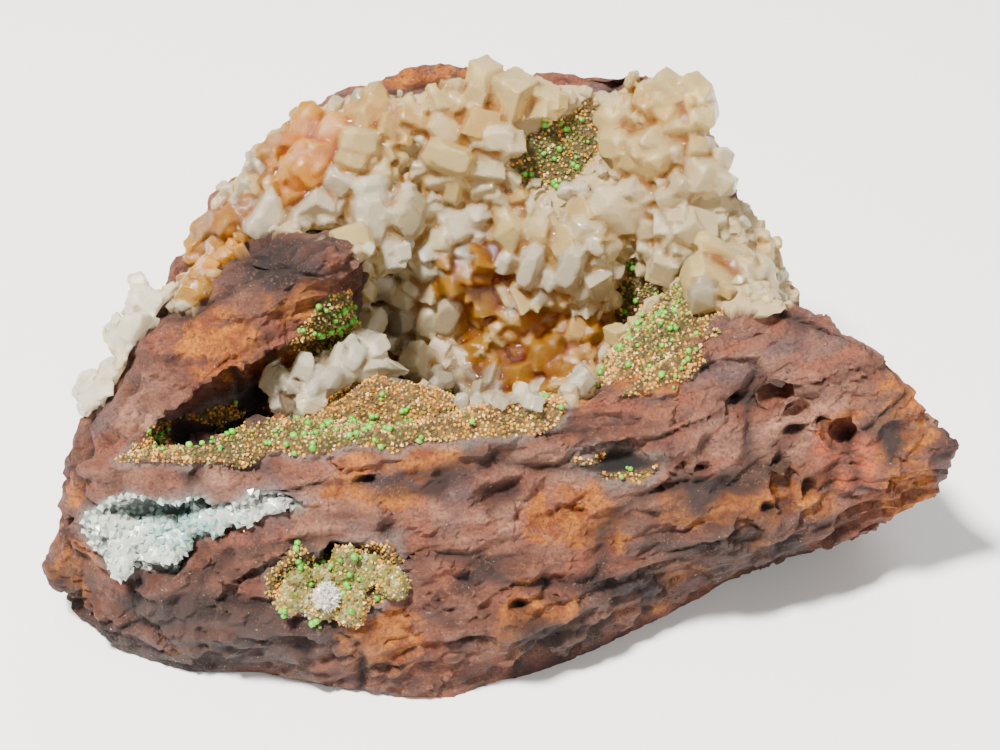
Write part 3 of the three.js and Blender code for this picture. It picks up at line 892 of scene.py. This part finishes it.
# Each field: its outline in the view, tints and how they are shared, and rows of
# (how far apart, half width, length) from large crystals to small
CALCITE_FIELDS = [
    {
        "outline": [(212, 206), (222, 182), (236, 166), (258, 140), (286, 113), (324, 98), (410, 94),
                    (410, 104), (336, 108), (290, 122), (268, 150), (264, 186), (256, 200),
                    (230, 206)],
        "tints": [(PALE_GREEN_CRUST, 5), (WHITE * 0.9, 3), (GREY, 3), (CREAM, 1)],
        "rows": [(2.2, (0.8, 1.4), (0.9, 1.6)), (1.4, (0.4, 0.7), (0.6, 1.0))],
    },
    {
        "outline": [(178, 292), (192, 245), (225, 198), (262, 200), (250, 232), (222, 268), (196, 304)],
        "tints": [(ORANGE, 5), (HONEY, 4)],
        "rows": [(2.8, (1.3, 2.0), (1.8, 3.0)), (1.7, (0.6, 1.0), (1.0, 1.8))],
    },
    {
        "outline": [(262, 192), (272, 150), (290, 122), (345, 108), (352, 150), (338, 186), (300, 196)],
        "tints": [(ORANGE, 8), (HONEY, 1)],
        "rows": [(3.2, (1.6, 2.4), (2.0, 3.6)), (1.9, (0.7, 1.2), (1.2, 2.2))],
    },
    {
        "outline": [(345, 108), (432, 98), (440, 182), (398, 190), (350, 186), (338, 150)],
        "tints": [(CREAM, 5), (PEACH, 4), (WHITE, 2)],
        "rows": [(3.2, (1.5, 2.3), (2.2, 3.6)), (1.9, (0.7, 1.2), (1.2, 2.2))],
        "bare": [(410, 158, 24)],
    },
    {
        "outline": [(236, 226), (262, 198), (302, 186), (352, 180), (380, 192), (372, 226), (350, 224),
                    (300, 222), (264, 234)],
        "tints": [(GLASSY, 8), (WHITE, 1)],
        "rows": [(2.8, (0.9, 1.6), (1.3, 2.3)), (1.6, (0.4, 0.8), (0.7, 1.2))],
    },
    {
        "outline": [(372, 190), (432, 190), (474, 228), (470, 256), (430, 268), (376, 262), (366, 226)],
        "tints": [(GLASSY, 7), (WHITE, 2), (GREY, 1)],
        "rows": [(3.8, (1.8, 2.8), (2.8, 4.4)), (2.2, (0.9, 1.4), (1.6, 2.6))],
    },
    {
        "outline": [(432, 98), (520, 86), (600, 98), (650, 98), (655, 172), (640, 236), (560, 240),
                    (474, 232), (440, 190)],
        "tints": [(CREAM, 6), (WHITE, 3), (PEACH, 4)],
        "rows": [(6.0, (2.6, 4.0), (3.6, 6.4)), (3.0, (1.1, 1.9), (2.0, 3.6))],
        "bare": [(562, 148, 60), (594, 174, 34)],
    },
    {
        "outline": [(642, 98), (660, 84), (684, 84), (694, 112), (708, 200), (716, 232), (640, 238),
                    (655, 172)],
        "tints": [(CREAM, 5), (WHITE, 5), (PEACH, 1)],
        "rows": [(6.0, (2.4, 3.6), (3.2, 5.6)), (3.0, (1.0, 1.8), (1.8, 3.2))],
    },
    {
        "outline": [(450, 262), (500, 238), (570, 290), (612, 318), (604, 372), (566, 392),
                    (500, 396), (462, 340)],
        "tints": [(HONEY, 6), (PEACH, 4), (CREAM, 2)],
        "rows": [(4.0, (1.9, 3.0), (3.6, 6.2)), (2.4, (1.0, 1.6), (2.2, 3.6))],
    },
    {
        "outline": [(368, 268), (450, 262), (466, 330), (504, 392), (500, 398), (452, 400),
                    (418, 376), (378, 338)],
        "tints": [(GREY, 6), (WHITE, 3)],
        "rows": [(3.8, (1.7, 2.6), (3.0, 5.2)), (2.3, (0.9, 1.5), (2.0, 3.2))],
    },
    {
        "outline": [(438, 390), (500, 394), (564, 388), (568, 402), (506, 412), (446, 410)],
        "tints": [(GLASSY, 4), (GREY, 3), (PEACH, 3)],
        "rows": [(2.2, (1.0, 1.6), (1.2, 2.4))],
    },
    {
        "outline": [(506, 262), (545, 240), (592, 232), (626, 285), (618, 318), (572, 308),
                    (516, 296)],
        "tints": [(GLASSY, 6), (CREAM, 3)],
        "rows": [(4.2, (1.9, 2.8), (6.0, 9.5)), (2.6, (1.1, 1.8), (4.0, 7.0))],
    },
    {
        "outline": [(620, 222), (735, 226), (800, 246), (806, 284), (770, 298), (706, 298),
                    (676, 262), (640, 246)],
        "tints": [(CREAM, 5), (WHITE, 5), (PEACH, 1)],
        "rows": [(5.6, (2.4, 3.6), (3.4, 6.0)), (3.0, (1.1, 1.8), (2.0, 3.6))],
    },
]
# The few that stand out: where they are seen, form, half width, length, tint
LARGE_CRYSTALS = [
    ((452, 150), "block", 2.6, 6.0, CREAM),
    ((458, 178), "block", 2.0, 3.6, CREAM),
    ((682, 198), "rhomb", 3.0, 4.4, WHITE),
    ((628, 140), "block", 2.4, 4.2, CREAM),
    ((585, 222), "block", 2.2, 4.6, WHITE),
    ((668, 112), "dogtooth", 2.4, 4.8, PEACH),
    ((496, 132), "block", 2.5, 4.4, WHITE),
    ((508, 100), "block", 2.0, 3.6, PEACH),
    ((545, 108), "rhomb", 2.2, 4.0, CREAM),
    ((710, 300), "dogtooth", 2.4, 4.8, GREY),
    ((760, 280), "rhomb", 3.2, 5.0, CREAM),
    ((440, 240), "dogtooth", 2.4, 4.6, WHITE),
    ((395, 215), "block", 2.6, 3.6, WHITE),
    ((318, 150), "block", 2.2, 3.2, ORANGE),
    ((306, 172), "block", 2.4, 3.0, ORANGE),
    ((270, 212), "block", 3.0, 2.4, GLASSY),
    ((318, 200), "rhomb", 3.0, 3.4, GLASSY),
    ((364, 214), "block", 3.2, 3.8, GLASSY),
    ((412, 226), "rhomb", 3.0, 4.2, GLASSY),
    ((550, 275), "dogtooth", 2.8, 8.0, GLASSY),
    ((590, 262), "rhomb", 2.8, 6.0, GLASSY),
    ((580, 392), "dogtooth", 1.9, 4.6, GLASSY),
]
HOLLOW_MIDDLE = Vector((0, -8, 42))


def grown_crystals(seat_list, tints, widths, lengths, towards, chance, members=0):
    """Crystals on every seat; the tint drifts from one to the next over the crust."""
    weights = np.array([share for _, share in tints], float)
    bounds = np.cumsum(weights / weights.sum())
    made = []
    for seat in seat_list:
        drift = 0.5 + 0.75 * lattice_noise(np.array(seat[0])[None], 7.0, 43)[0]
        drift = drift + chance.uniform(-0.12, 0.12)
        picked = min(int(np.searchsorted(bounds, drift)), len(tints) - 1)
        tint = tints[picked][0] * chance.uniform(0.93, 1.02)
        form = chance.choice(["dogtooth", "rhomb", "block"], p=(0.35, 0.55, 0.1))
        width = 1.12 * chance.uniform(*widths)
        length = chance.uniform(*lengths)
        made += grown(seat, form, width, length, tint, towards, chance, 0.45, members)
    return made


def covered_at(place, spots):
    """How far round places in the view cover a place, from 0 to 1."""
    across_at, down_at = seen_at(np.array(place)[None])
    return max(near(across_at, down_at, centre, radius)[0] for centre, radius in spots)


chance = np.random.default_rng(7)
pieces = []
for field in CALCITE_FIELDS:
    for apart, widths, lengths in field["rows"]:
        found = seats(field["outline"], apart, chance, field.get("bare", ()))
        members = 3 if apart > 3 else 1
        pieces += grown_crystals(found, field["tints"], widths, lengths, HOLLOW_MIDDLE, chance, members)
for (across_at, down_at), form, width, length, tint in LARGE_CRYSTALS:
    seat = look_at(across_at, down_at)
    pieces += grown(seat, form, width, length, tint, HOLLOW_MIDDLE, chance, 0.15, 2)
# A skin of small crystals closes the gaps between them, stained as the rock under it is
for seat in scattered(finer, calcite, 2.1, chance):
    tints = [(CREAM, 5), (WHITE, 5), (GLASSY, 2)]
    if covered_at(seat[0], STAINED_PLACES) > 0.45:
        tints = [(ORANGE, 2), (HONEY, 3), (PEACH, 2)]
    pieces += grown_crystals([seat], tints, (0.7, 1.3), (0.9, 1.9), HOLLOW_MIDDLE, chance)
behind = scattered(finer, hidden_walls.astype(float), 3.6, chance)
pieces += grown_crystals(
    behind, [(WHITE, 3), (CREAM, 3), (GREY, 2)], (1.4, 2.4), (2.0, 4.0), HOLLOW_MIDDLE, chance
)


BACK_WALL = 12  # a wall this thin or thinner can have a crystal stick out behind it


def through_the_back(piece):
    """Whether a crystal stands outside, behind the thin back wall."""
    middle = Vector(piece[0].mean(axis=0))
    behind = worn_tree.ray_cast(middle, Vector((0, 1, 0)))
    before = worn_tree.ray_cast(middle, Vector((0, -1, 0)))
    return behind[0] is None and before[0] is not None and before[3] < BACK_WALL


pieces = [piece for piece in pieces if not through_the_back(piece)]
hollow_calcite = fused("hollow_calcite", pieces, 0.34, 0.55)

# Clouding: clouds inside a crystal or grain, of a paler colour than its own tint
clouding, given, put_out = new_group(
    "clouding",
    {
        "Tint": "colour", "Cloud": "colour", "Waves": "number", "Detail": "number",
        "Clear": "number", "Clouded": "number", "Share": "number",
    },
    ("Colour", "colour"),
)
cloudy = ramp(
    clouding, noise(clouding, given["Waves"], given["Detail"]), given["Clear"], given["Clouded"]
)
cloudy = times(clouding, cloudy, given["Share"])
feed(clouding, put_out, mixed(clouding, cloudy, given["Tint"], given["Cloud"]))


def tinted_material(name, clouds, **roughness):
    """A material with the tint of each crystal, clouded, and with an uneven polish if given."""
    made = bpy.data.materials.new(name)
    made.use_nodes = True
    tree = made.node_tree
    tint = attribute(tree, "tint", "Color")
    feed(tree, principled(made).inputs["Base Color"], placed(tree, clouding, tint=tint, **clouds))
    if roughness:
        feed(tree, principled(made).inputs["Roughness"], placed(tree, polish, **roughness))
    return made


CALCITE_CLOUDS = {
    "cloud": (0.98, 0.93, 0.80, 1), "waves": 300, "detail": 4, "clear": 0.42, "clouded": 0.7,
    "share": 0.06,
}


def calcite_material(name, transmission):
    """Clouded calcite, see-through by a share."""
    made = tinted_material(name, CALCITE_CLOUDS, waves=500, detail=3, smooth=0.42, rough=1.7)
    shader = principled(made)
    shader.inputs["IOR"].default_value = 1.58
    shader.inputs["Transmission Weight"].default_value = transmission
    shader.inputs["Subsurface Weight"].default_value = 0.3
    shader.inputs["Subsurface Radius"].default_value = (1.0, 0.9, 0.8)
    shader.inputs["Subsurface Scale"].default_value = 1.2 * MM
    bumped(made, 0.6, 0.3, 1500, 8, 0.7)
    return made


hollow_calcite.data.materials.append(calcite_material("calcite", 0.74))
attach(hollow_calcite, "root")
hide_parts("calcite_crust")


# White calcite clusters
# Three clusters of glassy white calcite grown on the rock: one on the floor before the
# cave, one stub on the front wall of the hollow, and a massive crust outside on the left.
def crust_body(name, voxel, rough, tint):
    """A packed crust as one rough body, for small crystals to grow on."""
    mesh = finer_copy(name, voxel)
    spots = read(mesh, "co")
    rise = rough * (lattice_noise(spots, 2.2, 31) + 0.5 * lattice_noise(spots, 1.0, 32))
    spots = spots + read(mesh, "normal") * rise[:, None]
    mesh.vertices.foreach_set("co", (spots * MM).ravel())
    mesh.update()
    faces = [polygon.vertices[:] for polygon in mesh.polygons]
    return mesh, (spots, faces, np.tile(tint, (len(spots), 1)))


CRUST_VOXEL = 0.45
FUSED_VOXEL = 0.3
FUSED_SHARE = 0.6
chance = np.random.default_rng(11)
mesh, body = crust_body("calcite_floor_cluster", CRUST_VOXEL, 0.3, GLASSY)
found = scattered(mesh, all_over(mesh), 2.8, chance)
ABOVE_THE_FLOOR = Vector((-22, -10, 60))
pieces = [body] + grown_crystals(
    found, [(GLASSY, 7), (WHITE, 2)], (1.3, 2.2), (0.9, 1.8), ABOVE_THE_FLOOR, chance, 1
)
mesh, body = crust_body("calcite_stub", CRUST_VOXEL, 0.2, GLASSY)
found = scattered(mesh, all_over(mesh), 2.2, chance)
pieces += [body] + grown_crystals(
    found, [(GLASSY, 1)], (0.8, 1.4), (0.8, 1.6), HOLLOW_MIDDLE, chance
)
floor_calcite = fused("floor_and_wall_calcite", pieces, FUSED_VOXEL, FUSED_SHARE)
floor_calcite.data.materials.append(calcite_material("glassy_calcite", 0.75))
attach(floor_calcite, "root")
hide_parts("calcite_floor_cluster", "calcite_stub")

MILKY = np.array([0.93, 0.86, 0.72])
OUTSIDE = Vector((-90, -40, 60))
mesh, body = crust_body("calcite_side_cluster", CRUST_VOXEL, 0.4, MILKY)
found = scattered(mesh, all_over(mesh), 2.0, chance)
pieces = [body] + grown_crystals(
    found, [(GLASSY, 5), (WHITE, 1)], (0.9, 1.8), (0.7, 1.6), OUTSIDE, chance, 1
)
side_calcite = fused("side_calcite", pieces, FUSED_VOXEL, FUSED_SHARE)
side_calcite.data.materials.append(calcite_material("massive_calcite", 0.65))
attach(side_calcite, "root")
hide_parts("calcite_side_cluster")


# Hemimorphite in the slit
# A crust of tiny pale blue-white hemimorphite crystals, a millimetre or less each, grown
# in the slit of the front wall: white on the left, blue in the middle, grey in the tail.
GRAIN_CORNERS = [(1, 0, 0), (0, 1, 0), (-1, 0, 0), (0, -1, 0), (0, 0, 1.2), (0, 0, -1.0)]
GRAIN_FACES = [
    (0, 1, 4), (1, 2, 4), (2, 3, 4), (3, 0, 4), (1, 0, 5), (2, 1, 5), (3, 2, 5), (0, 3, 5),
]
# Painted light and shade: a grain is painted paler at its tip, as if lit, and darker at its foot, as if
# shaded
GRAIN_LIGHT_AND_SHADE = np.array([0.85, 0.85, 0.85, 0.85, 1.12, 0.7])[:, None]


def grain(seat, reach, tint, chance, tall=1.0):
    """A tiny crystal of eight faces on its seat, turned by chance, its tip drawn out if tall."""
    place, normal = seat
    corners = np.array(GRAIN_CORNERS)
    corners[4] *= tall
    corners = corners * reach
    corners = corners * chance.uniform(0.75, 1.2, (6, 1))
    way = (normal + Vector(chance.uniform(-0.7, 0.7, 3))).normalized()
    spin = chance.uniform(0, math.pi)
    turn = Vector((0, 0, 1)).rotation_difference(way) @ Quaternion((0, 0, 1), spin)
    spun = corners @ np.array(turn.to_matrix()).T + np.array(place)
    return spun, GRAIN_FACES, np.clip(tint * GRAIN_LIGHT_AND_SHADE, 0, 0.95)


ICE = np.array([0.30, 0.60, 0.58])
FROST = np.array([0.80, 0.86, 0.74])
ASH = np.array([0.52, 0.50, 0.47])
BLUE_PLACE = [((186, 527), (84, 38))]
ASHEN_TAIL = [((275, 503), (50, 16))]
DRUSE_VOXEL = 0.4
FROST_APART = 0.75

chance = np.random.default_rng(13)
mesh, body = crust_body("hemimorphite_crust", DRUSE_VOXEL, 0.25, FROST * 0.8)
pieces = [body]
found = scattered(mesh, all_over(mesh), FROST_APART, chance)
found += scattered(finer, slit, FROST_APART, chance)
for seat in found:
    blue = covered_at(seat[0], BLUE_PLACE)
    ashen = covered_at(seat[0], ASHEN_TAIL)
    tint = FROST * (1 - blue) + ICE * blue
    tint = (tint * (1 - ashen) + ASH * ashen) * chance.uniform(0.8, 1.1)
    pieces.append(grain(seat, chance.uniform(0.38, 0.68), tint, chance))
hemimorphite = joined("hemimorphite_druse", pieces, False)
HEMIMORPHITE_CLOUDS = {
    "cloud": (0.90, 0.94, 0.90, 1), "waves": 900, "detail": 3, "clear": 0.4, "clouded": 0.7,
    "share": 0.3,
}
ice = tinted_material(
    "hemimorphite", HEMIMORPHITE_CLOUDS, waves=1500, detail=2, smooth=-0.2, rough=2.2
)
principled(ice).inputs["IOR"].default_value = 1.62
principled(ice).inputs["Transmission Weight"].default_value = 0.45
hemimorphite.data.materials.append(ice)
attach(hemimorphite, "root")
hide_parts("hemimorphite_crust")


# Yellow-green druse
# A skin of sparkling grains, half a millimetre or so, in ochre, brown, straw and olive, grown
# on the floor of the trough, the right slope, in the small hollows and in the front pocket.
GOLD = np.array([0.50, 0.27, 0.035])
STRAW = np.array([0.74, 0.50, 0.18])
UMBER = np.array([0.10, 0.055, 0.022])
AMBER = np.array([0.52, 0.19, 0.015])
OLIVE = np.array([0.15, 0.15, 0.025])
# Each tint with its share on the open mound, and where the druse is greenest
GRAIN_TINTS = [(GOLD, 6, 3), (STRAW, 1.5, 1), (UMBER, 4, 5), (AMBER, 5, 1), (OLIVE, 2, 7)]
open_share, green_share = np.array([row[1:] for row in GRAIN_TINTS], float).T

chance = np.random.default_rng(17)
mesh, body = crust_body("pocket_druse", DRUSE_VOXEL, 0.3, OLIVE * 0.7)
pieces = [body]
on_pocket = scattered(mesh, all_over(mesh), 0.40, chance)
on_rock = scattered(finer, druse, 0.38, chance)
for seat in on_pocket + on_rock:
    greener = min(1.2 * covered_at(seat[0], GREENEST), 1)
    weights = open_share / open_share.sum() * (1 - greener)
    weights = weights + green_share / green_share.sum() * greener
    tint = GRAIN_TINTS[chance.choice(len(weights), p=weights)][0] * chance.uniform(0.75, 1.15)
    pieces.append(grain(seat, chance.uniform(0.18, 0.36), tint, chance))
grains = joined("druse_grains", pieces, False)
DUST = {
    "cloud": (0.80, 0.60, 0.30, 1), "waves": 1600, "detail": 3, "clear": 0.45, "clouded": 0.7,
    "share": 0.12,
}
sparkle = tinted_material("druse", DUST, waves=1500, detail=2, smooth=-0.3, rough=1.6)
grains.data.materials.append(sparkle)
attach(grains, "root")
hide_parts("pocket_druse")


# Green balls
# Small round growths of a green mineral that sit on the druse in ones, twos and threes,
# half a millimetre to a millimetre across, thickest where the druse is greenest.
def ball(place, reach, tint, chance, fineness=1):
    """A small round body, a little uneven."""
    made = bmesh.new()
    bmesh.ops.create_icosphere(made, subdivisions=fineness, radius=reach)
    verts = np.array([v.co[:] for v in made.verts])
    faces = [[v.index for v in face.verts] for face in made.faces]
    made.free()
    verts = verts * chance.uniform(0.88, 1.1, (len(verts), 1)) + np.array(place)
    return verts, faces, np.tile(tint, (len(verts), 1))


GREEN = np.array([0.030, 0.24, 0.004])
PALE_GREEN = np.array([0.12, 0.40, 0.02])
BALLS_APART = 1.9
chance = np.random.default_rng(19)
pieces = []
found = scattered(mesh, all_over(mesh), BALLS_APART, chance)
found += scattered(finer, druse, BALLS_APART, chance)
for place, normal in found:
    gathered = lattice_noise(np.array(place)[None], 6.0, 41)[0]
    if chance.random() > 0.25 + 0.9 * covered_at(place, GREENEST) + 0.5 * gathered:
        continue
    for _ in range(chance.integers(1, 4)):
        reach = chance.uniform(0.25, 0.55)
        beside = Vector(chance.uniform(-0.8, 0.8, 3))
        share = chance.random()
        tint = (GREEN * share + PALE_GREEN * (1 - share)) * chance.uniform(0.8, 1.15)
        pieces.append(ball(place + beside - normal * (beside @ normal - 0.25), reach, tint, chance))
green_balls = joined("green_balls", pieces, True)
MOTTLING = {
    "cloud": (0.40, 0.62, 0.16, 1), "waves": 2500, "detail": 3, "clear": 0.4, "clouded": 0.7,
    "share": 0.25,
}
green = tinted_material("green_balls", MOTTLING)
principled(green).inputs["Roughness"].default_value = 0.45
green_balls.data.materials.append(green)
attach(green_balls, "root")


# White burr in the pocket
# A ball of white needles, about three millimetres across, grown on the druse of the lower
# front pocket: a rough middle with fine crystals standing out of it all round.
BURR_SEEN_AT = (325, 600)
BURR_REACH = 1.5
BURR_NEEDLES = 260
BURR_MIDDLE_TINT = np.array([0.78, 0.72, 0.56])
BURR_TINT = np.array([0.86, 0.80, 0.66])
chance = np.random.default_rng(23)
pocket_tree = BVHTree.FromPolygons(
    [Vector(spot) for spot in read(mesh, "co")], [polygon.vertices[:] for polygon in mesh.polygons]
)
seat = look_at(*BURR_SEEN_AT, pocket_tree)
middle = seat[0] + seat[1] * BURR_REACH * 0.6
pieces = [ball(middle, BURR_REACH * 0.85, BURR_MIDDLE_TINT, chance, 2)]
for _ in range(BURR_NEEDLES):
    way = Vector(chance.normal(0, 1, 3)).normalized()
    reach = chance.uniform(0.2, 0.42)
    tint = BURR_TINT * chance.uniform(0.75, 1.1)
    pieces.append(grain((middle + way * BURR_REACH * 0.9, way), reach, tint, chance, 1.5))
burr = joined("white_burr", pieces, False)
burr.data.materials.append(ice)
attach(burr, "root")
